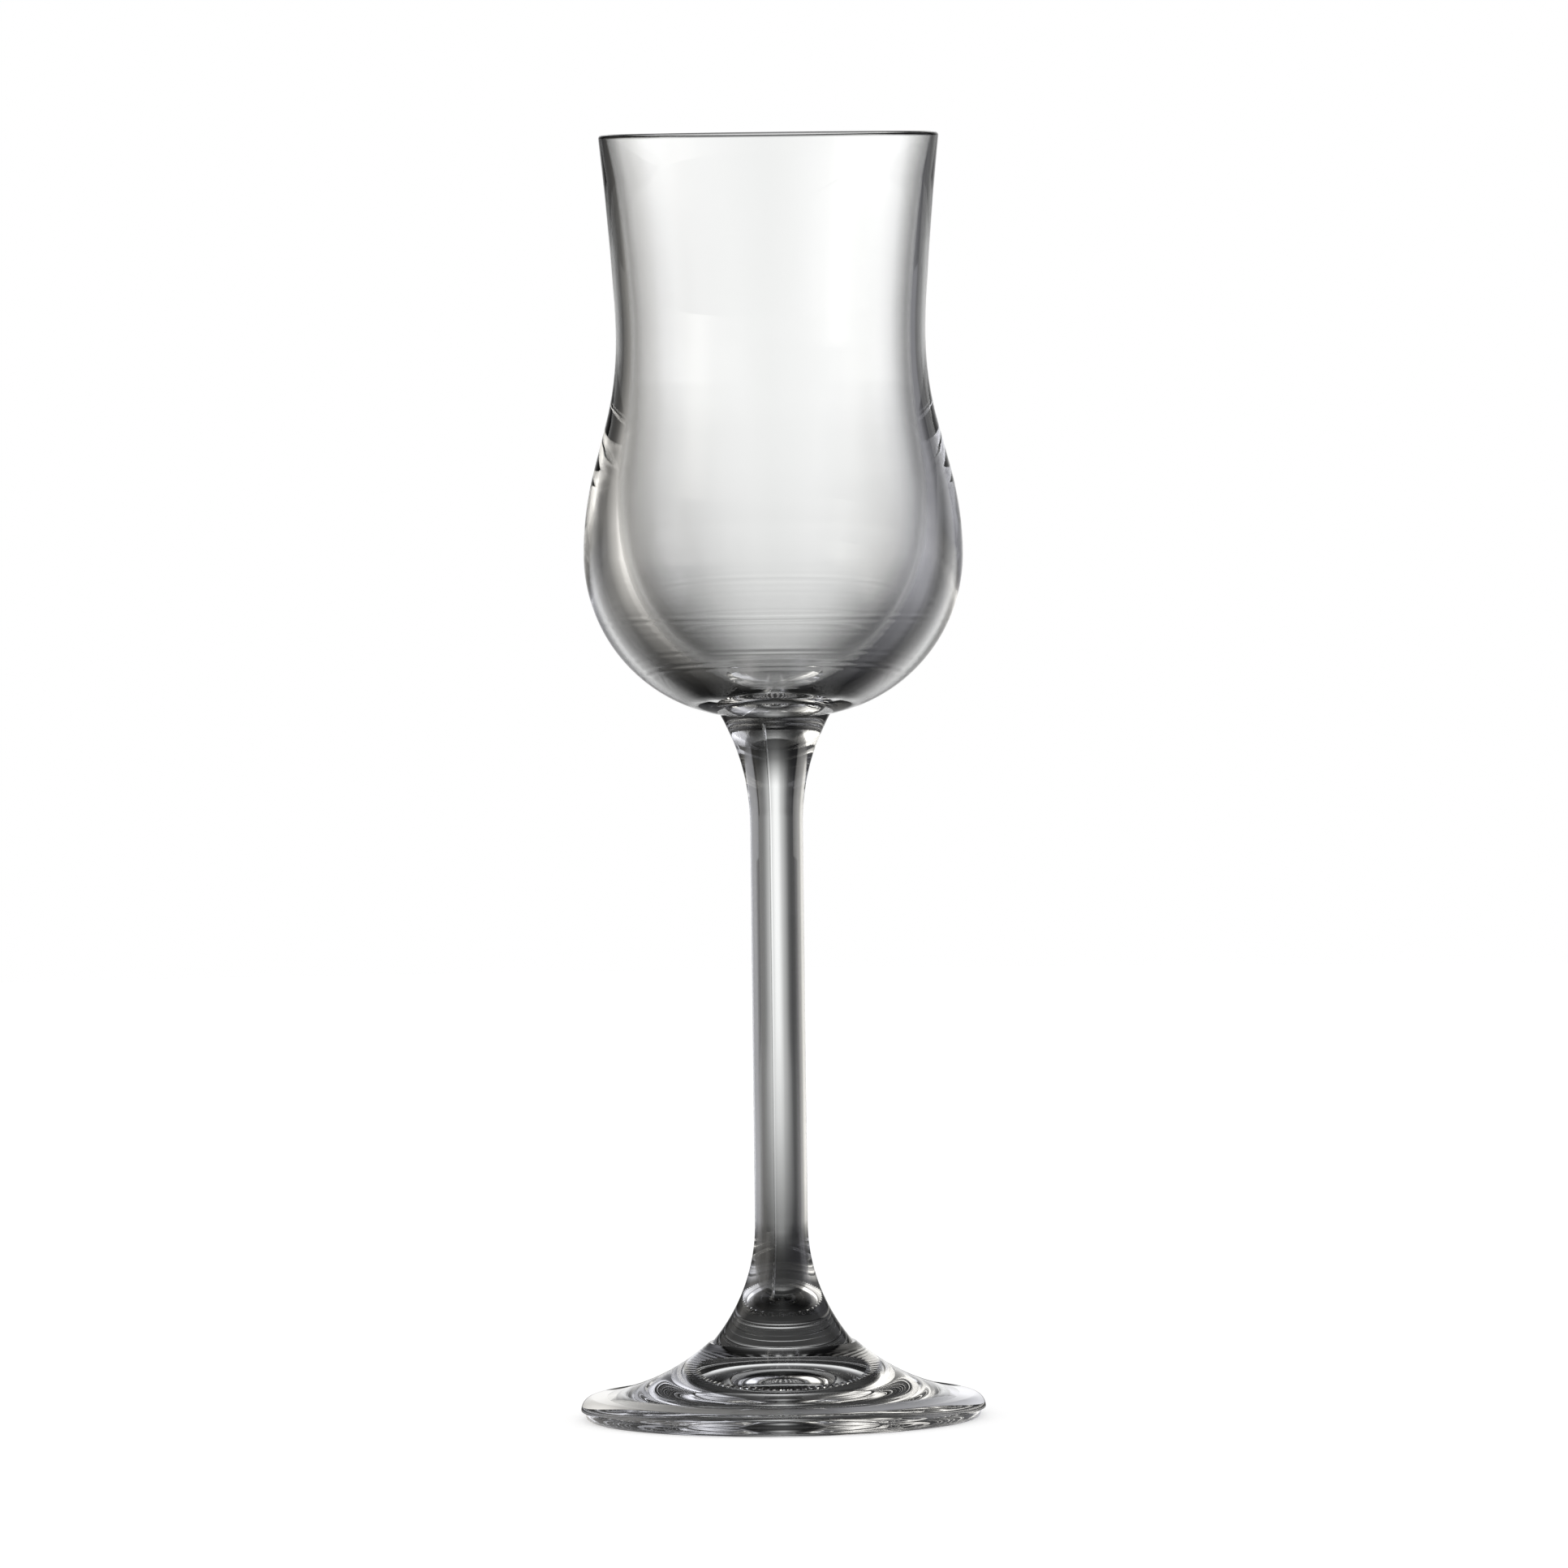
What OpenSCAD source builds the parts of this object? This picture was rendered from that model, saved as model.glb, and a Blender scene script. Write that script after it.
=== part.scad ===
/* [Overall] */
// Height from the table to the rim
height = 175; // [165:0.5:190]

/* [Bowl outside] */
// Diameter over the rim
rim_d = 46.2; // [44:0.1:50]
// Diameter at the waist under the rim
waist_d = 42.1; // [41:0.1:43]
// Height of the waist above the table
waist_h = 147.3; // [144:0.1:150]
// Diameter at the belly, the widest part of the bowl
belly_d = 51.6; // [50:0.1:54]
// Height of the belly above the table
belly_h = 117.8; // [116:0.1:119]
// Slope of the wall between the waist and the belly, from the upright
shoulder_angle = 15; // [13:0.5:17]
// Radius of the bend from that slope to the belly
belly_bend = 44.7; // [40:0.1:47]
// Radius of the bend above the waist
neck_bend = 80; // [60:1:120]
// Lean of the wall where that bend ends, from the upright
neck_angle = 3.5; // [2:0.1:4]
// Radius of the round lower half, from the belly to the stem
base_bend = 22.1; // [21.5:0.1:22.5]

/* [Bowl inside] */
// Wall at the rim, which is also the diameter of its round lip
rim_wall = 1; // [0.8:0.05:1.4]
// Wall at the waist
waist_wall = 2; // [1.85:0.05:2.15]
// Diameter of the inside at its widest
well_d = 42.6; // [42.3:0.1:42.9]
// How far above the belly the inside is widest
well_rise = 5.9; // [5.6:0.1:6.2]
// Slope of the inside between the waist and its widest part, from the upright
well_slope = 8.5; // [8:0.1:9]
// Radius of the gentle bend round the widest part of the inside
well_side = 38.6; // [35:0.1:42]
// How far that bend goes on below the widest part, in degrees
well_turn = 8.8; // [8:0.1:9.5]
// Radius of the round lower half of the inside
well_bend = 21; // [20.8:0.1:21.2]
// Depth of glass under the edge of the floor
floor_t = 5.6; // [5.2:0.1:6.2]
// Radius of the tight bend round the floor
floor_bend = 7; // [6:0.1:8]
// Depth of the shallow dish in the floor
dish_h = 1; // [0.6:0.1:1.4]

/* [Stem] */
// Diameter of the straight shank
stem_d = 7.2; // [6:0.1:9]
// Diameter where the stem meets the bowl
stem_top_d = 15; // [13:0.1:16]
// Radius of the flare under the bowl
stem_top_bend = 30; // [24:0.5:36]
// Diameter where the stem meets the foot
stem_end_d = 19.2; // [17:0.1:19.4]
// Radius of the flare above the foot
stem_end_bend = 25; // [20:0.5:30]

/* [Foot] */
// Diameter of the foot over its rim
foot_d = 55.2; // [53:0.1:60]
// Height of the ledge on which the stem stands
foot_h = 10.4; // [10:0.1:11]
// Diameter of that ledge
ledge_d = 20; // [19.8:0.1:22]
// Radius of the hollow sweep from the ledge to the rim
foot_sweep = 29.5; // [27:0.5:38]
// Radius of the round shoulder on the foot's rim
foot_round = 1.8; // [1.4:0.1:2]
// Height of the set-back ring under the foot's rim
step_h = 1.3; // [1:0.05:1.5]
// How far that ring is set back
step_in = 0.65; // [0.4:0.05:0.9]
// Radius of the ring's lower edge
base_round = 0.5; // [0.3:0.05:0.8]
// Width of the flat ring that stands on the table
bearing_w = 3; // [2:0.1:5]
// Radius of the shallow hollow inside that ring
hollow_bend = 24; // [20:0.5:32]
// Diameter of the domed punt in the middle of the underside
punt_d = 18.6; // [17:0.1:20]
// Height of the top of the punt above the table
punt_h = 2.8; // [2:0.1:3.5]
// Height of the crease round the punt above the table
crease_h = 0.5; // [0.3:0.1:1]

/* [Hidden] */
$fn = 128;
glass = [0.86, 0.91, 0.92];

// Widest turn between two neighbouring points of a bend, in degrees
bend_step = 3;

rim_r = rim_d / 2;
waist_r = waist_d / 2;
belly_r = belly_d / 2;
shank_r = stem_d / 2;
joint_r = stem_top_d / 2;
stem_end_r = stem_end_d / 2;
ledge_r = ledge_d / 2;
foot_r = foot_d / 2;

// The lip is a half circle on top of the wall
lip_r = rim_wall / 2;
lip_h = height - lip_r;

// The bowl's round lower half ends on the stem
base_centre = [belly_r - base_bend, belly_h];
joint_turn = -acos((joint_r - base_centre.x) / base_bend);
joint_h = belly_h + base_bend * sin(joint_turn);
floor_h = joint_h + floor_t;

// Points of a circular bend, from one direction to another as seen from its centre
function bend(centre, radius, from, to) =
    let (steps = max(3, ceil(abs(to - from) / bend_step)))
    [for (i = [0 : steps])
        let (a = from + (to - from) * i / steps)
        centre + radius * [cos(a), sin(a)]];

// Direction from one point to another
function heading(from, to) = atan2(to.y - from.y, to.x - from.x);

// The point at one distance from p and another from q, on the left of the way from p to q
function meeting(p, p_distance, q, q_distance) =
    let (gap = norm(q - p))
    let (along = (p_distance ^ 2 - q_distance ^ 2 + gap ^ 2) / (2 * gap))
    let (aside = sqrt(p_distance ^ 2 - along ^ 2))
    let (way = (q - p) / gap)
    p + along * way + aside * [-way.y, way.x];

// Radius of the bend under the waist, from where a straight slope goes on to the bend at the belly
function shoulder_bend(waist, belly, slope, belly_bend) =
    ((waist.y - belly.y) * tan(slope) - (belly.x - waist.x)) / (1 / cos(slope) - 1) - belly_bend;

// One face of the bowl's wall, from the rim past the waist to the belly
function wall_line(rim, waist, belly, slope, belly_bend) =
    let (neck_centre = waist + [neck_bend, 0])
    let (neck_end = neck_centre + neck_bend * [-cos(neck_angle), sin(neck_angle)])
    let (inward = [cos(neck_angle), -sin(neck_angle)])
    let (flare = norm(rim - neck_end) ^ 2 / (2 * (rim - neck_end) * inward))
    let (flare_centre = neck_end + flare * inward)
    let (rim_turn = (heading(flare_centre, rim) + 360) % 360)
    let (shoulder = shoulder_bend(waist, belly, slope, belly_bend))
    concat(
        bend(flare_centre, flare, rim_turn, 180 - neck_angle),
        bend(neck_centre, neck_bend, 180 - neck_angle, 180),
        bend(waist + [shoulder, 0], shoulder, 180, 180 + slope),
        bend(belly - [belly_bend, 0], belly_bend, slope, 0)
    );

// The inside of the lower bowl, from its widest place to the axis: a round side, a tight bend and a dished floor
function floor_line(widest) =
    let (side_centre = widest - [well_side, 0])
    let (round_centre = side_centre + (well_side - well_bend) * [cos(well_turn), -sin(well_turn)])
    let (drop = floor_h + floor_bend - round_centre.y)
    let (across = sqrt((well_bend - floor_bend) ^ 2 - drop ^ 2))
    let (floor_centre = round_centre + [across, drop])
    let (turn = heading(round_centre, floor_centre))
    let (dish_edge = [floor_centre.x, floor_h])
    let (dish_r = (dish_edge.x ^ 2 + dish_h ^ 2) / (2 * dish_h))
    let (dish_centre = [0, floor_h - dish_h + dish_r])
    concat(
        bend(side_centre, well_side, 0, -well_turn),
        bend(round_centre, well_bend, -well_turn, turn),
        bend(floor_centre, floor_bend, turn, -90),
        bend(dish_centre, dish_r, heading(dish_centre, dish_edge), -90)
    );

function reversed(points) = [for (i = [len(points) - 1 : -1 : 0]) points[i]];

// Leaves out a point that repeats the one before it, where two bends meet
function joined(points) =
    [for (i = [0 : len(points) - 1])
        if (i == 0 || norm(points[i] - points[i - 1]) > 0.001) points[i]];

// Blown bowl: a waisted tulip on a heavy base
module bowl() {
    inner_rim = [rim_r - rim_wall, lip_h];
    inner_waist = [waist_r - waist_wall, waist_h];
    widest = [well_d / 2, belly_h + well_rise];
    outside = concat(
        wall_line([rim_r, lip_h], [waist_r, waist_h], [belly_r, belly_h], shoulder_angle, belly_bend),
        bend(base_centre, base_bend, 0, joint_turn)
    );
    inside = concat(wall_line(inner_rim, inner_waist, widest, well_slope, well_side), floor_line(widest));
    lip = bend([rim_r - lip_r, lip_h], lip_r, 180, 0);
    color(glass)
        rotate_extrude()
            polygon(joined(concat(outside, [[0, joint_h]], reversed(inside), lip)));
}

// Pressed stem: a straight shank that flares to the bowl and to the foot
module stem() {
    top_turn = acos(1 - (joint_r - shank_r) / stem_top_bend);
    end_turn = acos(1 - (stem_end_r - shank_r) / stem_end_bend);
    top_start = joint_h - stem_top_bend * sin(top_turn);
    end_start = foot_h + stem_end_bend * sin(end_turn);
    upper = bend([shank_r + stem_top_bend, top_start], stem_top_bend, 180 - top_turn, 180);
    lower = bend([shank_r + stem_end_bend, end_start], stem_end_bend, 180, 180 + end_turn);
    color(glass)
        rotate_extrude()
            polygon(joined(concat([[0, joint_h]], upper, lower, [[0, foot_h]])));
}

// Pressed foot: a hollow sweep from the ledge to a rounded rim over a set-back ring, with a punt under it
module foot() {
    ring_r = foot_r - step_in;
    bearing_r = ring_r - base_round - bearing_w;
    round_centre = [foot_r - foot_round, step_h];
    sweep_centre = meeting([ledge_r, foot_h], foot_sweep, round_centre, foot_sweep + foot_round);
    sweep_start = heading(sweep_centre, [ledge_r, foot_h]);
    sweep_end = heading(sweep_centre, round_centre);
    bearing = [bearing_r, 0];
    crease = [punt_d / 2, crease_h];
    hollow_centre = meeting(bearing, hollow_bend, crease, hollow_bend);
    hollow_start = heading(hollow_centre, bearing);
    hollow_end = heading(hollow_centre, crease);
    punt_rise = punt_h - crease_h;
    punt_r = (crease.x ^ 2 + punt_rise ^ 2) / (2 * punt_rise);
    punt_centre = [0, punt_h - punt_r];
    color(glass)
        rotate_extrude()
            polygon(joined(concat(
                [[0, foot_h]],
                bend(sweep_centre, foot_sweep, sweep_start, sweep_end),
                bend(round_centre, foot_round, 180 + sweep_end, 0),
                [[ring_r, step_h]],
                bend([ring_r - base_round, base_round], base_round, 0, -90),
                bend(hollow_centre, hollow_bend, hollow_start, hollow_end),
                bend(punt_centre, punt_r, heading(punt_centre, crease), 90)
            )));
}

bowl();
stem();
foot();
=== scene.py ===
import math
from collections import namedtuple

import bpy
from bpy.props import FloatProperty, FloatVectorProperty, IntProperty, PointerProperty
from mathutils import Matrix, Vector


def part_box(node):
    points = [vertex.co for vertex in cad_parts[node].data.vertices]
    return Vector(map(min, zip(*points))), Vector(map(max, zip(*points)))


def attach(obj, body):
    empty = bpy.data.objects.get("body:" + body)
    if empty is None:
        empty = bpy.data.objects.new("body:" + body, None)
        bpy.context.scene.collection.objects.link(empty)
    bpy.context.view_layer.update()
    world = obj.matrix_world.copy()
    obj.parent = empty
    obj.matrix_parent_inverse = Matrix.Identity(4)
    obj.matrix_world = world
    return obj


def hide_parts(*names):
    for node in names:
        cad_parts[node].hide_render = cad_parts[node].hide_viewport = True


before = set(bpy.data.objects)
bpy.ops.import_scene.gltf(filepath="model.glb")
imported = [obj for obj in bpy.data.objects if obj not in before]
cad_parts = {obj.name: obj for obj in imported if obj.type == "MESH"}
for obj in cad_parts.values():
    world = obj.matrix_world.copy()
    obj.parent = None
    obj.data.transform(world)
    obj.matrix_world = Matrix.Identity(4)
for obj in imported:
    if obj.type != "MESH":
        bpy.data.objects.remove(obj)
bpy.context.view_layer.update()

bl_info = {
    "name": "Port Glass",
    "version": (1, 0, 0),
    "blender": (4, 5, 0),
    "location": "View3D > Sidebar > Port Glass",
    "description": "Blows and presses a stemmed port glass in its measured frame, and sets it in a plain studio",
    "category": "Add Mesh",
}

MM = 0.001
BODY = "root"

# Points closer than this are one: in a finished mesh, and along a profile while it is drawn
MERGED = 0.001 * MM
MET = 0.01 * MM

# Fewest steps in a bend
LEAST_STEPS = 3

# Edges that turn more than this stay sharp
SHARP = math.radians(12)

# Fine lines round the glass: points to a line, the slow beats that make them uneven, and how late they are strongest
LINE_POINTS = 4
LINE_BEATS = (0.61, 0.23)
LINE_LATENESS = 1.6

# Heights that the frame gives
TABLE_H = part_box("foot")[0].z
LEDGE_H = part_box("stem")[0].z
JOINT_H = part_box("bowl")[0].z
RIM_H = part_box("bowl")[1].z


# Sizes and colours

def length(name, description, millimetres):
    """A size in the panel, shown in the scene's unit of length."""
    return FloatProperty(name=name, description=description, default=millimetres * MM, min=0.0,
                         precision=5, subtype="DISTANCE", unit="LENGTH")


def angle(name, description, degrees):
    """An angle in the panel."""
    return FloatProperty(name=name, description=description, default=math.radians(degrees),
                         subtype="ANGLE", unit="ROTATION")


def share(name, description, default):
    """A share of another size in the panel."""
    return FloatProperty(name=name, description=description, default=default, precision=4)


def count(name, description, default, least=1):
    """A number of like things in the panel."""
    return IntProperty(name=name, description=description, default=default, min=least)


def linear(code):
    """A colour's sRGB hex code as linear red, green, blue and alpha."""
    parts = [int(code[i:i + 2], 16) / 255 for i in (1, 3, 5)]
    return [c / 12.92 if c <= 0.04045 else ((c + 0.055) / 1.055) ** 2.4 for c in parts] + [1.0]


def colour(name, description, code):
    """A colour in the panel, from its sRGB hex code."""
    return FloatVectorProperty(name=name, description=description, default=linear(code), size=4,
                               min=0.0, max=1.0, subtype="COLOR")


class BowlSizes(bpy.types.PropertyGroup):
    """Sizes of the blown bowl"""
    rim_d: length("Rim", "Diameter over the rim", 46.2)
    waist_d: length("Waist", "Diameter at the waist under the rim", 42.1)
    waist_h: length("Waist height", "Height of the waist above the table", 147.3)
    belly_d: length("Belly", "Diameter at the widest part of the bowl", 51.6)
    belly_h: length("Belly height", "Height of the belly above the table", 117.8)
    shoulder: angle("Shoulder", "Slope of the wall between waist and belly, from the upright", 15)
    neck_bend: length("Neck bend", "Radius of the bend above the waist", 80)
    neck_lean: angle("Neck lean", "Lean of the wall where that bend ends, from the upright", 3.5)
    belly_bend: length("Belly bend", "Radius of the bend from that slope to the belly", 44.7)
    base_bend: length("Base bend", "Radius of the round lower half", 22.1)
    rim_wall: length("Rim wall", "Wall at the rim, which is also the diameter of its round lip", 1)
    waist_wall: length("Waist wall", "Wall at the waist", 2)
    well_d: length("Well", "Diameter of the inside at its widest", 42.6)
    well_rise: length("Well rise", "How far above the belly the inside is widest", 5.9)
    well_slope: angle("Well slope", "Slope of the inside between waist and well, from the upright", 8.5)
    well_side: length("Well side", "Radius of the gentle bend round the widest part of the inside", 38.6)
    well_turn: angle("Well turn", "How far that bend goes on below the widest part", 8.8)
    well_bend: length("Well bend", "Radius of the round lower half of the inside", 21)
    floor_t: length("Floor", "Depth of glass under the edge of the floor", 5.6)
    floor_bend: length("Floor bend", "Radius of the tight bend round the floor of the inside", 7)
    dish_h: length("Dish", "Depth of the shallow dish in that floor", 1)
    line_pitch: length("Line pitch", "Distance between the fine chill lines inside the lower bowl", 0.9)
    line_depth: length("Line depth", "Depth of those lines", 0.014)


class StemSizes(bpy.types.PropertyGroup):
    """Sizes of the pressed stem"""
    shank_d: length("Shank", "Diameter of the straight shank", 7.2)
    top_d: length("Top", "Diameter where the stem meets the bowl", 15)
    top_bend: length("Top bend", "Radius of the flare under the bowl", 30)
    end_d: length("End", "Diameter where the stem meets the foot", 19.2)
    end_bend: length("End bend", "Radius of the flare above the foot", 25)
    seams: count("Seams", "Mould seams along the stem", 3)
    seam_turn: angle("Seam turn", "Bearing of the first seam, from the front and clockwise from above", 13)
    seam_start: length("Seam start", "Depth under the bowl at which the seams start", 1)
    seam_end: length("Seam end", "Height above the ledge at which the seams end", 7)
    seam_swell: share("Seam swell", "Share of the radius by which a seam stands out", 0.03)
    collar_start: length("Collar start", "Depth under the bowl at which the ragged collar starts", 1.5)
    collar_end: length("Collar end", "Depth under the bowl at which it ends", 3.2)
    collar_swell: share("Collar swell", "Share of the radius by which it stands out", 0.003)


class FootSizes(bpy.types.PropertyGroup):
    """Sizes of the pressed foot"""
    foot_d: length("Foot", "Diameter over the foot's rim", 55.2)
    ledge_d: length("Ledge", "Diameter of the ledge on which the stem stands", 20)
    sweep: length("Sweep", "Radius of the hollow sweep from the ledge to the rim", 29.5)
    round: length("Round", "Radius of the round shoulder on the rim", 1.8)
    step_h: length("Step height", "Height of the set-back ring under the rim", 1.3)
    step_in: length("Step", "How far that ring is set back", 0.65)
    base_round: length("Base round", "Radius of the ring's lower edge", 0.5)
    bearing_w: length("Bearing", "Width of the flat ring that stands on the table", 3)
    hollow_bend: length("Hollow bend", "Radius of the shallow hollow inside the bearing", 24)
    punt_d: length("Punt", "Diameter of the domed punt in the middle of the underside", 18.6)
    punt_h: length("Punt height", "Height of the top of the punt above the table", 2.8)
    crease_h: length("Crease", "Height above the table of the crease round the punt", 0.5)
    teeth: count("Teeth", "Teeth of the knurled crease", 64)
    tooth_swell: share("Tooth swell", "Share of the radius by which a tooth stands out, below zero for in", -0.03)
    threads: count("Threads", "Fine parting lines under the ledge", 4)
    thread_pitch: length("Thread pitch", "Distance between those lines", 0.4)
    thread_depth: length("Thread depth", "Depth of those lines", 0.006)


class GlassFinish(bpy.types.PropertyGroup):
    """What the glass is made of, and how finely it is turned"""
    ior: FloatProperty(name="IOR", description="Refractive index of soda glass", default=1.52)
    bowl_tint: colour("Bowl tint", "Colour of the denser streaks in the blown bowl", "#fcfdfc")
    stem_tint: colour("Stem tint", "Colour of the denser streaks in the pressed stem", "#f6f9f7")
    foot_tint: colour("Foot tint", "Colour of the denser streaks in the pressed foot", "#f6f8f9")
    turns: count("Turns", "Faces round the axis of each piece", 256, least=32)
    bend_step: angle("Bend step", "Widest turn between two points of a bend", 2)


class StudioSettings(bpy.types.PropertyGroup):
    """Camera and stage"""
    camera_distance: length("Camera distance", "From the axis of the glass to the camera", 1889)
    camera_h: length("Camera height", "Height of the camera above the table", 189.8)
    camera_aside: length("Camera offset", "How far the camera stands to the right of the axis", 1.08)
    camera_pitch: angle("Pitch", "How far the camera looks down", 3.13)
    camera_roll: angle("Roll", "Turn of the camera about its line of sight", -0.69)
    lens: FloatProperty(name="Lens", description="Focal length on a 36 mm sensor", default=319.15, unit="CAMERA")
    floor_r: length("Floor", "Radius of the floor", 900)
    floor_colour: colour("Floor colour", "Colour of the paper on the floor", "#e6e6e6")
    # The table top that shows in the glass is a card of painted light and shade, not a dark material
    table_r: length("Table", "Radius of the dark table top that shows in the glass", 1500)


# Drawing and turning

Bend = namedtuple("Bend", "centre radius start end")


def backwards(bends):
    """The same bends, drawn from the other end."""
    return [Bend(b.centre, b.radius, b.end, b.start) for b in reversed(bends)]


def heading(start, end):
    """Direction from one point of a profile to another."""
    return math.atan2(end.y - start.y, end.x - start.x)


def point_at(centre, radius, turn):
    """The point of a circle in one direction from its centre."""
    return centre + radius * Vector((math.cos(turn), math.sin(turn)))


def meeting(p, p_distance, q, q_distance):
    """The point at one distance from p and another from q, on the left of the way from p to q."""
    gap = (q - p).length
    along = (p_distance ** 2 - q_distance ** 2 + gap ** 2) / (2 * gap)
    aside = math.sqrt(p_distance ** 2 - along ** 2)
    way = (q - p) / gap
    return p + along * way + aside * Vector((-way.y, way.x))


class Outline:
    """A half profile, radius across and height up, drawn in edit mode from a single vertex."""

    def __init__(self, name, start, bend_step):
        bpy.ops.object.select_all(action="DESELECT")
        bpy.ops.mesh.primitive_plane_add(size=MM, location=(start.x, 0, start.y))
        bpy.ops.object.transform_apply(location=True, rotation=True, scale=True)
        self.piece = bpy.context.object
        self.piece.name = self.piece.data.name = name
        self.here = start
        self.bend_step = bend_step
        bpy.ops.object.mode_set(mode="EDIT")
        bpy.ops.mesh.select_mode(type="VERT")
        bpy.ops.mesh.select_all(action="SELECT")
        bpy.ops.mesh.merge(type="CENTER")

    def line(self, *points):
        """Straight stretches to points."""
        for point in points:
            way = point - self.here
            bpy.ops.mesh.extrude_region_move(TRANSFORM_OT_translate={"value": (way.x, 0, way.y)})
            self.here = point

    def bends(self, bends):
        """Round stretches, each spun about its own centre, with a straight one where two don't meet."""
        for b in bends:
            start = point_at(b.centre, b.radius, b.start)
            if (start - self.here).length > MET:
                self.line(start)
            turn = b.end - b.start
            steps = max(LEAST_STEPS, math.ceil(abs(turn) / self.bend_step))
            bpy.ops.mesh.spin(steps=steps, angle=turn, center=(b.centre.x, 0, b.centre.y), axis=(0, 1, 0))
            self.here = point_at(b.centre, b.radius, b.end)

    def rippled(self, b, pitch, depth):
        """A round stretch with fine lines round the glass: its points run in and out by a small, uneven depth."""
        turn = b.end - b.start
        steps = math.ceil(abs(turn) * b.radius / (pitch / LINE_POINTS))
        for i in range(1, steps + 1):
            uneven = math.prod((1 + math.sin(i * beat)) / 2 for beat in LINE_BEATS)
            strength = math.sin((i / steps) ** LINE_LATENESS * math.pi)
            wave = math.sin(i * math.tau / LINE_POINTS) * strength * uneven
            self.line(point_at(b.centre, b.radius + depth * wave, b.start + turn * i / steps))

    def turned(self, turns):
        """Spins the whole profile about the axis of the glass, and closes its seam and poles."""
        bpy.ops.mesh.select_all(action="SELECT")
        bpy.ops.mesh.spin(steps=turns, angle=math.tau, center=(0, 0, 0), axis=(0, 0, 1))
        bpy.ops.mesh.select_all(action="SELECT")
        bpy.ops.mesh.remove_doubles(threshold=MERGED)
        bpy.ops.mesh.normals_make_consistent(inside=False)
        bpy.ops.object.mode_set(mode="OBJECT")
        return self.piece


def pick(piece):
    """Selects one piece alone and makes it the active one."""
    bpy.ops.object.select_all(action="DESELECT")
    piece.select_set(True)
    bpy.context.view_layer.objects.active = piece


def swell(piece, part, chosen):
    """Moves the chosen vertices of a piece away from its axis by a part of their radius."""
    pick(piece)
    bpy.ops.object.mode_set(mode="EDIT")
    bpy.ops.mesh.select_mode(type="VERT")
    bpy.ops.mesh.select_all(action="DESELECT")
    bpy.ops.object.mode_set(mode="OBJECT")
    for vertex in piece.data.vertices:
        vertex.select = chosen(vertex.co)
    bpy.ops.object.mode_set(mode="EDIT")
    bpy.ops.transform.resize(value=(1 + part, 1 + part, 1), center_override=(0, 0, 0))
    bpy.ops.object.mode_set(mode="OBJECT")


def turn_of(co):
    """Bearing of a point from the front of the glass, as a share of a full turn, clockwise from above."""
    return math.atan2(-co.x, -co.y) / math.tau % 1


def ragged(column):
    """Whether a column of faces round the glass is one of a fixed, irregular choice of them."""
    return column * (7 * column + 3) % 11 < 4


def fuse(piece, height, radius):
    """Gives the flat faces inside a fused joint their own material slot, with a sharp edge round them."""
    mesh = piece.data
    inside = [abs(v.co.z - height) < MERGED and v.co.xy.length < radius + MERGED for v in mesh.vertices]
    for face in mesh.polygons:
        if all(inside[v] for v in face.vertices):
            face.material_index = 1
    for edge in mesh.edges:
        a, b = edge.vertices
        at_edge = all(abs(mesh.vertices[v].co.xy.length - radius) < MERGED for v in (a, b))
        edge.use_edge_sharp = edge.use_edge_sharp or (inside[a] and inside[b] and at_edge)


def finish_piece(piece, node, materials):
    """Smooths a piece, gives it its materials and puts it in the place of its node."""
    pick(piece)
    bpy.ops.object.shade_smooth_by_angle(angle=SHARP, keep_sharp_edges=True)
    for material in materials:
        piece.data.materials.append(material)
    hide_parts(node)
    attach(piece, BODY)


# Materials

def add_node(tree, kind, links=None, inputs=None, **settings):
    """Adds a node with its settings, input values and links from other nodes' outputs."""
    node = tree.nodes.new(kind)
    for key, value in settings.items():
        setattr(node, key, value)
    for key, value in (inputs or {}).items():
        node.inputs[key].default_value = value
    for key, output in (links or {}).items():
        tree.links.new(output, node.inputs[key])
    return node


def new_material(name):
    """An empty material and its node tree."""
    material = bpy.data.materials.new(name)
    material.use_nodes = True
    material.node_tree.nodes.clear()
    return material, material.node_tree


# Width of a streak in the melt as a share of its length
STREAK_SLIMNESS = 0.1


def clear_glass(name, finish, tint, streak):
    """Clear glass: white, with faint upright streaks of a tint, of a given width, where the melt was denser."""
    material, tree = new_material(name)
    place = add_node(tree, "ShaderNodeTexCoord")
    upright = add_node(tree, "ShaderNodeMapping", links={"Vector": place.outputs["Object"]}, inputs={
        "Scale": (1 / streak, 1 / streak, STREAK_SLIMNESS / streak)})
    melt = add_node(tree, "ShaderNodeTexNoise", links={"Vector": upright.outputs["Vector"]}, inputs={
        "Scale": 1.0, "Detail": 2.0})
    streaks = add_node(tree, "ShaderNodeMix", data_type="RGBA", links={"Factor": melt.outputs["Fac"]}, inputs={
        "A": linear("#ffffff"), "B": tint})
    glass = add_node(tree, "ShaderNodeBsdfPrincipled", links={"Base Color": streaks.outputs["Result"]}, inputs={
        "Roughness": 0.0, "IOR": finish.ior, "Transmission Weight": 1.0})
    add_node(tree, "ShaderNodeOutputMaterial", links={"Surface": glass.outputs["BSDF"]})
    return material


def blown_glass(finish):
    """Fire-polished: nearly white and fully clear, so that the thin wall shows only at its dark edges."""
    return clear_glass("blown soda glass", finish, finish.bowl_tint, streak=6 * MM)


def drawn_glass(finish):
    """Drawn by the press along the stem: fine streaks and a touch of grey-green in the thicker glass."""
    return clear_glass("pressed stem glass", finish, finish.stem_tint, streak=1.5 * MM)


def pressed_glass(finish):
    """The thickest of the three: a faint grey-blue in its depth, in broader patches."""
    return clear_glass("pressed foot glass", finish, finish.foot_tint, streak=4 * MM)


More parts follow.
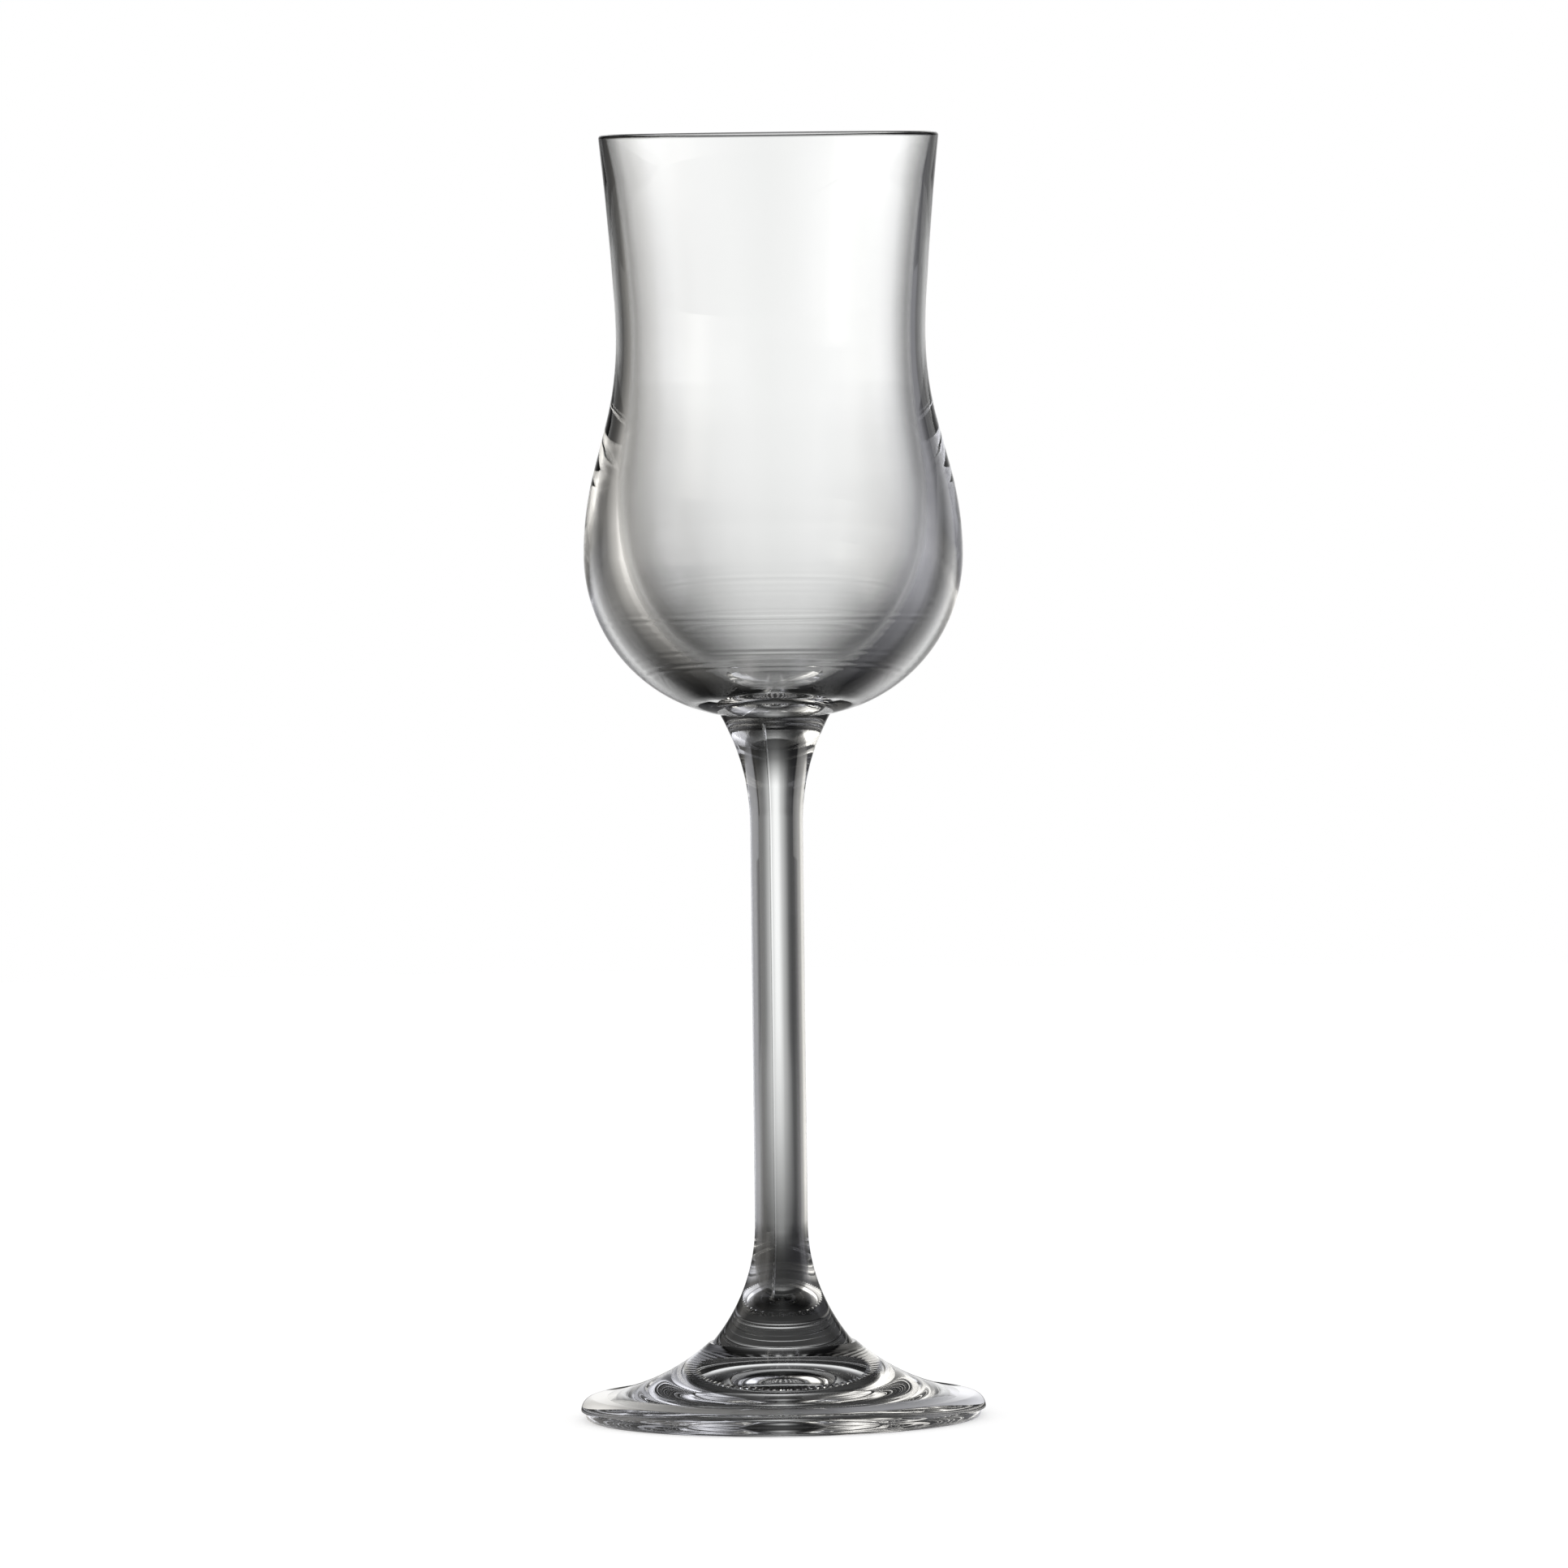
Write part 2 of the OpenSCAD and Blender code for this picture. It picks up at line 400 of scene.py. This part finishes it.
def fused_joint():
    """Glass run into glass: light goes straight across, so the joint has no look of its own."""
    material = bpy.data.materials.get("fused glass")
    if material:
        return material
    material, tree = new_material("fused glass")
    glass = add_node(tree, "ShaderNodeBsdfPrincipled", inputs={
        "Base Color": linear("#ffffff"), "Alpha": 0.0})
    add_node(tree, "ShaderNodeOutputMaterial", links={"Surface": glass.outputs["BSDF"]})
    return material


# Pieces

def wall_face(rim, waist, belly, slope, belly_bend, sizes):
    """The bends of one face of the bowl's wall, from the rim past the waist to the belly."""
    lean = sizes.neck_lean
    neck_centre = waist + Vector((sizes.neck_bend, 0))
    neck_end = point_at(neck_centre, sizes.neck_bend, math.pi - lean)
    inward = Vector((math.cos(lean), -math.sin(lean)))
    rise = rim - neck_end
    flare = rise.length_squared / (2 * rise.dot(inward))
    flare_centre = neck_end + flare * inward
    rim_turn = heading(flare_centre, rim) % math.tau
    drop = (waist.y - belly.y) * math.tan(slope) - (belly.x - waist.x)
    shoulder = drop / (1 / math.cos(slope) - 1) - belly_bend
    return [
        Bend(flare_centre, flare, rim_turn, math.pi - lean),
        Bend(neck_centre, sizes.neck_bend, math.pi - lean, math.pi),
        Bend(waist + Vector((shoulder, 0)), shoulder, math.pi, math.pi + slope),
        Bend(belly - Vector((belly_bend, 0)), belly_bend, slope, 0),
    ]


def floor_face(well, floor_h, sizes):
    """The inside of the lower bowl, from its widest place to the axis: a round side, a tight bend, a dished floor."""
    tight, bend = sizes.floor_bend, sizes.well_bend
    side_centre = well - Vector((sizes.well_side, 0))
    round_centre = point_at(side_centre, sizes.well_side - bend, -sizes.well_turn)
    drop = floor_h + tight - round_centre.y
    across = math.sqrt((bend - tight) ** 2 - drop ** 2)
    floor_centre = round_centre + Vector((across, drop))
    turn = heading(round_centre, floor_centre)
    dish_edge = Vector((floor_centre.x, floor_h))
    dish_r = (dish_edge.x ** 2 + sizes.dish_h ** 2) / (2 * sizes.dish_h)
    dish_centre = Vector((0, floor_h - sizes.dish_h + dish_r))
    return [
        Bend(side_centre, sizes.well_side, 0, -sizes.well_turn),
        Bend(round_centre, bend, -sizes.well_turn, turn),
        Bend(floor_centre, tight, turn, -math.pi / 2),
        Bend(dish_centre, dish_r, heading(dish_centre, dish_edge), -math.pi / 2),
    ]


class PORTGLASS_OT_bowl(bpy.types.Operator):
    """Blow the waisted tulip bowl with its heavy base and fire-polished lip"""
    bl_idname = "port_glass.bowl"
    bl_label = "Bowl"

    def execute(self, context):
        sizes = context.scene.port_glass_bowl
        finish = context.scene.port_glass_finish
        joint_r = context.scene.port_glass_stem.top_d / 2
        lip_r = sizes.rim_wall / 2
        rim = Vector((sizes.rim_d / 2, RIM_H - lip_r))
        waist = Vector((sizes.waist_d / 2, sizes.waist_h))
        belly = Vector((sizes.belly_d / 2, sizes.belly_h))
        inner_rim = rim - Vector((sizes.rim_wall, 0))
        inner_waist = waist - Vector((sizes.waist_wall, 0))
        well = Vector((sizes.well_d / 2, sizes.belly_h + sizes.well_rise))
        base_centre = belly - Vector((sizes.base_bend, 0))
        joint_turn = -math.acos((joint_r - base_centre.x) / sizes.base_bend)
        draw = Outline("bowl", Vector((0, JOINT_H)), finish.bend_step)
        draw.line(Vector((joint_r, JOINT_H)))
        draw.bends([Bend(base_centre, sizes.base_bend, joint_turn, 0)])
        draw.bends(backwards(wall_face(rim, waist, belly, sizes.shoulder, sizes.belly_bend, sizes)))
        draw.bends([Bend(rim - Vector((lip_r, 0)), lip_r, 0, math.pi)])
        draw.bends(wall_face(inner_rim, inner_waist, well, sizes.well_slope, sizes.well_side, sizes))
        side, lower, tight, dish = floor_face(well, JOINT_H + sizes.floor_t, sizes)
        draw.bends([side])
        draw.rippled(lower, sizes.line_pitch, sizes.line_depth)
        draw.bends([tight, dish])
        bowl = draw.turned(finish.turns)
        fuse(bowl, JOINT_H, joint_r)
        finish_piece(bowl, "bowl", [blown_glass(finish), fused_joint()])
        return {"FINISHED"}


class PORTGLASS_OT_stem(bpy.types.Operator):
    """Press the straight stem with its two flares"""
    bl_idname = "port_glass.stem"
    bl_label = "Stem"

    def execute(self, context):
        sizes = context.scene.port_glass_stem
        finish = context.scene.port_glass_finish
        shank_r, top_r, end_r = sizes.shank_d / 2, sizes.top_d / 2, sizes.end_d / 2
        top_turn = math.acos(1 - (top_r - shank_r) / sizes.top_bend)
        end_turn = math.acos(1 - (end_r - shank_r) / sizes.end_bend)
        top_start = JOINT_H - sizes.top_bend * math.sin(top_turn)
        end_start = LEDGE_H + sizes.end_bend * math.sin(end_turn)
        top_centre = Vector((shank_r + sizes.top_bend, top_start))
        end_centre = Vector((shank_r + sizes.end_bend, end_start))
        draw = Outline("stem", Vector((0, JOINT_H)), finish.bend_step)
        draw.line(Vector((top_r, JOINT_H)))
        draw.bends([Bend(top_centre, sizes.top_bend, math.pi - top_turn, math.pi)])
        draw.line(Vector((shank_r, end_start)))
        draw.bends([Bend(end_centre, sizes.end_bend, math.pi, math.pi + end_turn)])
        draw.line(Vector((0, LEDGE_H)))
        stem = draw.turned(finish.turns)
        column = 1 / finish.turns

        def on_seam(co):
            off = sizes.seams * (turn_of(co) - sizes.seam_turn / math.tau) % 1
            at_seam = min(off, 1 - off) < sizes.seams * column
            return at_seam and LEDGE_H + sizes.seam_end < co.z < JOINT_H - sizes.seam_start

        def on_collar(co):
            at_collar = JOINT_H - sizes.collar_end < co.z < JOINT_H - sizes.collar_start
            return at_collar and ragged(round(turn_of(co) / column))

        swell(stem, sizes.collar_swell, on_collar)
        swell(stem, sizes.seam_swell, on_seam)
        fuse(stem, JOINT_H, top_r)
        fuse(stem, LEDGE_H, end_r)
        finish_piece(stem, "stem", [drawn_glass(finish), fused_joint()])
        return {"FINISHED"}


class PORTGLASS_OT_foot(bpy.types.Operator):
    """Press the round foot with its ledge, stepped rim and hollow underside"""
    bl_idname = "port_glass.foot"
    bl_label = "Foot"

    def execute(self, context):
        sizes = context.scene.port_glass_foot
        finish = context.scene.port_glass_finish
        stem_r = context.scene.port_glass_stem.end_d / 2
        ledge = Vector((sizes.ledge_d / 2, LEDGE_H))
        ring_r = sizes.foot_d / 2 - sizes.step_in
        bearing_r = ring_r - sizes.base_round - sizes.bearing_w
        round_centre = Vector((sizes.foot_d / 2 - sizes.round, sizes.step_h))
        sweep_centre = meeting(ledge, sizes.sweep, round_centre, sizes.sweep + sizes.round)
        sweep_start = heading(sweep_centre, ledge) % math.tau
        sweep_end = heading(sweep_centre, round_centre) % math.tau
        bearing = Vector((bearing_r, TABLE_H))
        crease = Vector((sizes.punt_d / 2, sizes.crease_h))
        hollow_centre = meeting(bearing, sizes.hollow_bend, crease, sizes.hollow_bend)
        rise = sizes.punt_h - sizes.crease_h
        punt_r = (crease.x ** 2 + rise ** 2) / (2 * rise)
        punt_centre = Vector((0, sizes.punt_h - punt_r))
        base_centre = Vector((ring_r - sizes.base_round, sizes.base_round))
        draw = Outline("foot", Vector((0, LEDGE_H)), finish.bend_step)
        draw.line(Vector((stem_r, LEDGE_H)), ledge)
        thread_end = sweep_start + sizes.threads * sizes.thread_pitch / sizes.sweep
        draw.rippled(Bend(sweep_centre, sizes.sweep, sweep_start, thread_end), sizes.thread_pitch, sizes.thread_depth)
        draw.bends([
            Bend(sweep_centre, sizes.sweep, thread_end, sweep_end),
            Bend(round_centre, sizes.round, sweep_end - math.pi, 0),
        ])
        draw.line(Vector((ring_r, sizes.step_h)), Vector((ring_r, sizes.base_round)))
        draw.bends([Bend(base_centre, sizes.base_round, 0, -math.pi / 2)])
        draw.line(bearing)
        draw.bends([
            Bend(hollow_centre, sizes.hollow_bend, heading(hollow_centre, bearing), heading(hollow_centre, crease)),
            Bend(punt_centre, punt_r, heading(punt_centre, crease), math.pi / 2),
        ])
        foot = draw.turned(finish.turns)
        half_column = sizes.teeth / finish.turns / 2

        def on_tooth(co):
            at_crease = abs(co.z - crease.y) < MET and abs(co.xy.length - crease.x) < MET
            return at_crease and (turn_of(co) * sizes.teeth + half_column) % 1 < 0.5

        swell(foot, sizes.tooth_swell, on_tooth)
        fuse(foot, LEDGE_H, stem_r)
        finish_piece(foot, "foot", [pressed_glass(finish), fused_joint()])
        return {"FINISHED"}


# Stage

# Light of the lit backdrop and of the side panels, by bearing in degrees from straight behind, clockwise from above
BACKDROP_BY_BEARING = (
    (-26, 0), (-24, 0.03), (-20, 0.05), (-16, 0.11), (-12, 0.3), (-10, 0.41), (-7, 0.57), (-5, 0.72), (-4, 0.83),
    (-2.5, 0.96), (-1, 1.04), (2, 1.06), (4, 0.98), (5, 0.91), (7, 0.79), (9, 0.66), (12, 0.5), (17, 0.27), (20, 0.18),
    (24, 0.13), (28, 0.11), (30, 0),
)
SIDES_BY_BEARING = (
    (-180, 0.15), (-150, 0.4), (-135, 0.8), (-126, 1.5), (-118, 1.8), (-108, 1.5), (-75, 1.5), (-68, 1.2), (-58, 0.9),
    (-54, 0.8), (-51, 0.5), (-44, 0.27), (-36, 0.17), (-29, 0.1), (-27, 0), (31, 0), (34, 0.21), (44, 0.24), (52, 0.28),
    (58, 0.36), (65, 0.52), (72, 1.15), (78, 1.45), (92, 1.35), (105, 0.6), (130, 0.5), (150, 0.35), (180, 0.15),
)

# Light of the side panels painted into the table top, by the same bearing: less of it reaches the front
PAINTED_TABLE_SIDES_BY_BEARING = (
    (-180, 0.1), (-145, 0.3), (-130, 0.5), (-118, 0.8), (-108, 1.3), (-75, 1.5), (-68, 1.2), (-58, 0.9), (-54, 0.8),
    (-51, 0.5), (-44, 0.3), (-36, 0.08), (-27, 0.02), (-25, 0), (29, 0), (33, 0.05), (38, 0.12), (44, 0.26), (52, 0.3),
    (58, 0.36), (65, 0.52), (72, 1.15), (78, 1.45), (92, 1.35), (105, 0.8), (125, 0.55), (150, 0.5), (165, 0.2),
    (180, 0.1),
)

# Share of that light, by height in degrees above the level of the glass
BACKDROP_BY_HEIGHT = (
    (-90, 1), (8, 1), (12.5, 0.6), (17.5, 0.22), (22.5, 0.1), (30, 0.05), (38, 0.05), (43, 0.4), (48, 0.4), (51, 0.03),
    (90, 0.01),
)
SIDES_BY_HEIGHT = ((-90, 1), (24, 1), (29, 0.6), (34, 0.15), (60, 0.12), (66, 0.06), (90, 0.03))

# Share of that light painted into the table top, by distance in millimetres from the glass: dark near the glass as
# painted shade
PAINTED_BACKDROP_BY_DISTANCE = (
    (0, 0.02), (60, 0.03), (95, 0.07), (135, 0.14), (180, 0.24), (230, 0.25), (292, 0.28), (372, 0.46), (449, 0.62),
    (498, 0.71), (541, 0.75), (578, 0.8), (608, 0.83), (642, 0.86), (670, 0.89), (708, 0.92), (745, 0.94), (809, 0.96),
    (870, 0.98), (1047, 1), (1500, 1),
)
PAINTED_SIDES_BY_DISTANCE = (
    (0, 0.02), (12, 0.05), (17, 0.4), (22, 0.65), (28, 0.5), (35, 0.1), (45, 0.05), (60, 0.06), (95, 0.18), (135, 0.33),
    (210, 0.55), (280, 0.9), (350, 1.1), (450, 1.1), (600, 1), (1500, 1),
)

# How much wider the backdrop's light is low down, by height, and in the light painted on the table top, by the same
# distance
SPREAD_BY_HEIGHT = ((-90, 1.1), (-1.2, 1.1), (-0.2, 1), (90, 1))
PAINTED_SPREAD_BY_DISTANCE = ((0, 1), (200, 1.1), (330, 1.5), (450, 1.4), (600, 1.3), (700, 1.15), (800, 1.1), (1500, 1.1))

# Painted light on the table round the foot, in place of the light that the glass itself throws there, by the same
# bearing and distance
PAINTED_GLOW_BY_BEARING = ((-180, 0.8), (-140, 0.5), (-100, 0.9), (-50, 0.1), (50, 0.1), (100, 0.9), (140, 0.3), (180, 0.8))
PAINTED_GLOW_BY_DISTANCE = ((0, 0), (11, 0), (16, 0.1), (22, 0.18), (32, 0.26), (42, 0.04), (60, 0), (1500, 0))

# Tints of the side panels: warm on the left, cool on the right
PLAIN, WARM, COOL = (1, 1, 1), (1.03, 1, 0.95), (0.98, 0.98, 1.05)

# What the camera sees as the background, the soft light on the floor's paper and the light that the paper adds
WHITE = (1, 1, 1, 1)
DOME_LIGHT = 0.7
PAPER_LIGHT = 0.5

# Sides of the round floor and table, and how many metres the camera sees
DISC_SIDES = 96
CAMERA_REACH = 100

# How often light may pass through glass, and how often it may be reflected or go straight across
GLASS_BOUNCES = 32
OTHER_BOUNCES = 16


def graded(tree, value, stops, left=PLAIN, right=PLAIN):
    """Light that runs from stop to stop over a range of values, with a tint on each side of its zero."""
    low, high = stops[0][0], stops[-1][0]
    along = add_node(tree, "ShaderNodeMapRange", links={"Value": value}, inputs={"From Min": low, "From Max": high})
    node = add_node(tree, "ShaderNodeValToRGB", links={"Fac": along.outputs["Result"]})
    elements = node.color_ramp.elements
    while len(elements) < len(stops):
        elements.new(0.5)
    for element, (place, grey) in zip(elements, stops):
        element.position = (place - low) / (high - low)
        element.color = [grey * part for part in (left if place < 0 else right)] + [1]
    return node.outputs["Color"]


def bearing_of(tree, direction):
    """Bearing of a direction in degrees from straight behind, clockwise from above."""
    axes = add_node(tree, "ShaderNodeSeparateXYZ", links={"Vector": direction})
    turn = add_node(tree, "ShaderNodeMath", operation="ARCTAN2", links={0: axes.outputs["X"], 1: axes.outputs["Y"]})
    return add_node(tree, "ShaderNodeMath", operation="DEGREES", links={0: turn.outputs["Value"]}).outputs["Value"]


def panel_light(tree, bearing, reach, bearing_stops, backdrop_stops, sides_stops, spread_stops):
    """Light of the backdrop and the side panels by bearing, each with its share by height or by distance: lamp light in
    the world, painted light on the table card.
    """
    spread = add_node(tree, "ShaderNodeMath", operation="DIVIDE", links={
        0: bearing, 1: graded(tree, reach, spread_stops)})
    backdrop = add_node(tree, "ShaderNodeVectorMath", operation="MULTIPLY", links={
        0: graded(tree, spread.outputs["Value"], BACKDROP_BY_BEARING), 1: graded(tree, reach, backdrop_stops)})
    sides = add_node(tree, "ShaderNodeVectorMath", operation="MULTIPLY", links={
        0: graded(tree, bearing, bearing_stops, WARM, COOL), 1: graded(tree, reach, sides_stops)})
    both = add_node(tree, "ShaderNodeVectorMath", operation="ADD", links={
        0: backdrop.outputs["Vector"], 1: sides.outputs["Vector"]})
    return both.outputs["Vector"]


def light_world():
    """The studio that the glass shows, with a white background for the camera and a soft dome for the floor."""
    world = bpy.data.worlds.new("studio")
    world.use_nodes = True
    tree = world.node_tree
    tree.nodes.clear()
    way = add_node(tree, "ShaderNodeTexCoord")
    axes = add_node(tree, "ShaderNodeSeparateXYZ", links={"Vector": way.outputs["Generated"]})
    rise = add_node(tree, "ShaderNodeMath", operation="ARCSINE", links={0: axes.outputs["Z"]})
    height = add_node(tree, "ShaderNodeMath", operation="DEGREES", links={0: rise.outputs["Value"]})
    light = panel_light(tree, bearing_of(tree, way.outputs["Generated"]), height.outputs["Value"], SIDES_BY_BEARING,
                        BACKDROP_BY_HEIGHT, SIDES_BY_HEIGHT, SPREAD_BY_HEIGHT)
    studio = add_node(tree, "ShaderNodeBackground", links={"Color": light})
    white = add_node(tree, "ShaderNodeBackground", inputs={"Color": WHITE})
    dome = add_node(tree, "ShaderNodeBackground", inputs={"Color": WHITE, "Strength": DOME_LIGHT})
    ray = add_node(tree, "ShaderNodeLightPath")
    lit = add_node(tree, "ShaderNodeMixShader", links={
        0: ray.outputs["Is Diffuse Ray"], 1: studio.outputs["Background"], 2: dome.outputs["Background"]})
    seen = add_node(tree, "ShaderNodeMixShader", links={
        0: ray.outputs["Is Camera Ray"], 1: lit.outputs["Shader"], 2: white.outputs["Background"]})
    add_node(tree, "ShaderNodeOutputWorld", links={"Surface": seen.outputs["Shader"]})
    bpy.context.scene.world = world


def floor_paper(paper_colour):
    """Matt paper: it keeps the soft shadow of the foot, and is lit up for the camera so that it runs into the white."""
    material, tree = new_material("pale floor paper")
    ray = add_node(tree, "ShaderNodeLightPath")
    paper = add_node(tree, "ShaderNodeBsdfDiffuse", inputs={"Color": paper_colour})
    glow = add_node(tree, "ShaderNodeEmission", inputs={"Color": WHITE, "Strength": PAPER_LIGHT})
    both = add_node(tree, "ShaderNodeAddShader", links={0: paper.outputs["BSDF"], 1: glow.outputs["Emission"]})
    seen = add_node(tree, "ShaderNodeMixShader", links={
        0: ray.outputs["Is Camera Ray"], 1: paper.outputs["BSDF"], 2: both.outputs["Shader"]})
    add_node(tree, "ShaderNodeOutputMaterial", links={"Surface": seen.outputs["Shader"]})
    return material


def painted_table_light():
    """What the glass shows of the table, as light and shade painted into a glowing card: painted shade near the glass,
    painted light that grows paler towards the panels round it, and a painted pool of light round the foot.
    """
    material, tree = new_material("painted table light and shade")
    place = add_node(tree, "ShaderNodeTexCoord")
    away = add_node(tree, "ShaderNodeVectorMath", operation="LENGTH", links={0: place.outputs["Object"]})
    reach = add_node(tree, "ShaderNodeMath", operation="MULTIPLY", links={0: away.outputs["Value"]}, inputs={1: 1 / MM})
    bearing, reach = bearing_of(tree, place.outputs["Object"]), reach.outputs["Value"]
    light = panel_light(tree, bearing, reach, PAINTED_TABLE_SIDES_BY_BEARING, PAINTED_BACKDROP_BY_DISTANCE, PAINTED_SIDES_BY_DISTANCE,
                        PAINTED_SPREAD_BY_DISTANCE)
    # Painted pool of light round the foot, in place of the light that the glass throws on the table
    painted_glow = add_node(tree, "ShaderNodeVectorMath", operation="MULTIPLY", links={
        0: graded(tree, bearing, PAINTED_GLOW_BY_BEARING), 1: graded(tree, reach, PAINTED_GLOW_BY_DISTANCE)})
    lit = add_node(tree, "ShaderNodeVectorMath", operation="ADD", links={0: light, 1: painted_glow.outputs["Vector"]})
    # The card glows with this painted light and shade; no lamp lights it
    glow = add_node(tree, "ShaderNodeEmission", links={"Color": lit.outputs["Vector"]})
    add_node(tree, "ShaderNodeOutputMaterial", links={"Surface": glow.outputs["Emission"]})
    return material


def flat_disc(name, radius, material):
    """A round part of the stage, level with the table."""
    bpy.ops.object.select_all(action="DESELECT")
    bpy.ops.mesh.primitive_circle_add(vertices=DISC_SIDES, radius=radius, fill_type="NGON")
    disc = bpy.context.object
    disc.name = disc.data.name = name
    disc.data.materials.append(material)
    return disc


class PORTGLASS_OT_studio(bpy.types.Operator):
    """Set up the floor, the light and the camera"""
    bl_idname = "port_glass.studio"
    bl_label = "Studio"

    def execute(self, context):
        settings = context.scene.port_glass_studio
        floor = flat_disc("floor", settings.floor_r, floor_paper(settings.floor_colour))
        floor.visible_transmission = floor.visible_glossy = False
        # A card of painted light and shade, hidden from the camera, that the glass shows as the table
        table = flat_disc("table", settings.table_r, painted_table_light())
        table.visible_camera = table.visible_diffuse = table.visible_shadow = False
        light_world()
        bpy.ops.object.camera_add(location=(settings.camera_aside, -settings.camera_distance, settings.camera_h))
        camera = context.object
        tilt = Matrix.Rotation(math.pi / 2 - settings.camera_pitch, 3, "X")
        camera.rotation_euler = (tilt @ Matrix.Rotation(settings.camera_roll, 3, "Z")).to_euler()
        camera.data.lens = settings.lens
        camera.data.clip_end = CAMERA_REACH
        context.scene.camera = camera
        context.scene.view_settings.view_transform = "Standard"
        cycles = context.scene.cycles
        cycles.max_bounces = cycles.transmission_bounces = GLASS_BOUNCES
        cycles.glossy_bounces = cycles.transparent_max_bounces = OTHER_BOUNCES
        return {"FINISHED"}


class PORTGLASS_PT_panel(bpy.types.Panel):
    """Sizes and steps of the port glass"""
    bl_idname = "PORTGLASS_PT_panel"
    bl_label = "Port Glass"
    bl_space_type = "VIEW_3D"
    bl_region_type = "UI"
    bl_category = "Port Glass"

    def draw(self, context):
        for name in GROUPS:
            box = self.layout.box()
            if name in STEPS:
                box.operator(STEPS[name])
            settings = getattr(context.scene, name)
            for key in settings.__annotations__:
                box.prop(settings, key)


# The operator that each group of settings belongs to: the finish belongs to all three pieces
STEPS = {
    "port_glass_bowl": "port_glass.bowl",
    "port_glass_stem": "port_glass.stem",
    "port_glass_foot": "port_glass.foot",
    "port_glass_studio": "port_glass.studio",
}

GROUPS = {
    "port_glass_bowl": BowlSizes,
    "port_glass_stem": StemSizes,
    "port_glass_foot": FootSizes,
    "port_glass_finish": GlassFinish,
    "port_glass_studio": StudioSettings,
}

CLASSES = (PORTGLASS_OT_bowl, PORTGLASS_OT_stem, PORTGLASS_OT_foot, PORTGLASS_OT_studio, PORTGLASS_PT_panel)


def register():
    for name, group in GROUPS.items():
        bpy.utils.register_class(group)
        setattr(bpy.types.Scene, name, PointerProperty(type=group))
    for each in CLASSES:
        bpy.utils.register_class(each)


def unregister():
    for each in reversed(CLASSES):
        bpy.utils.unregister_class(each)
    for name, group in reversed(GROUPS.items()):
        delattr(bpy.types.Scene, name)
        bpy.utils.unregister_class(group)


def main():
    register()
    bpy.ops.port_glass.studio()
    bpy.ops.port_glass.bowl()
    bpy.ops.port_glass.stem()
    bpy.ops.port_glass.foot()


if __name__ == "__main__":
    main()
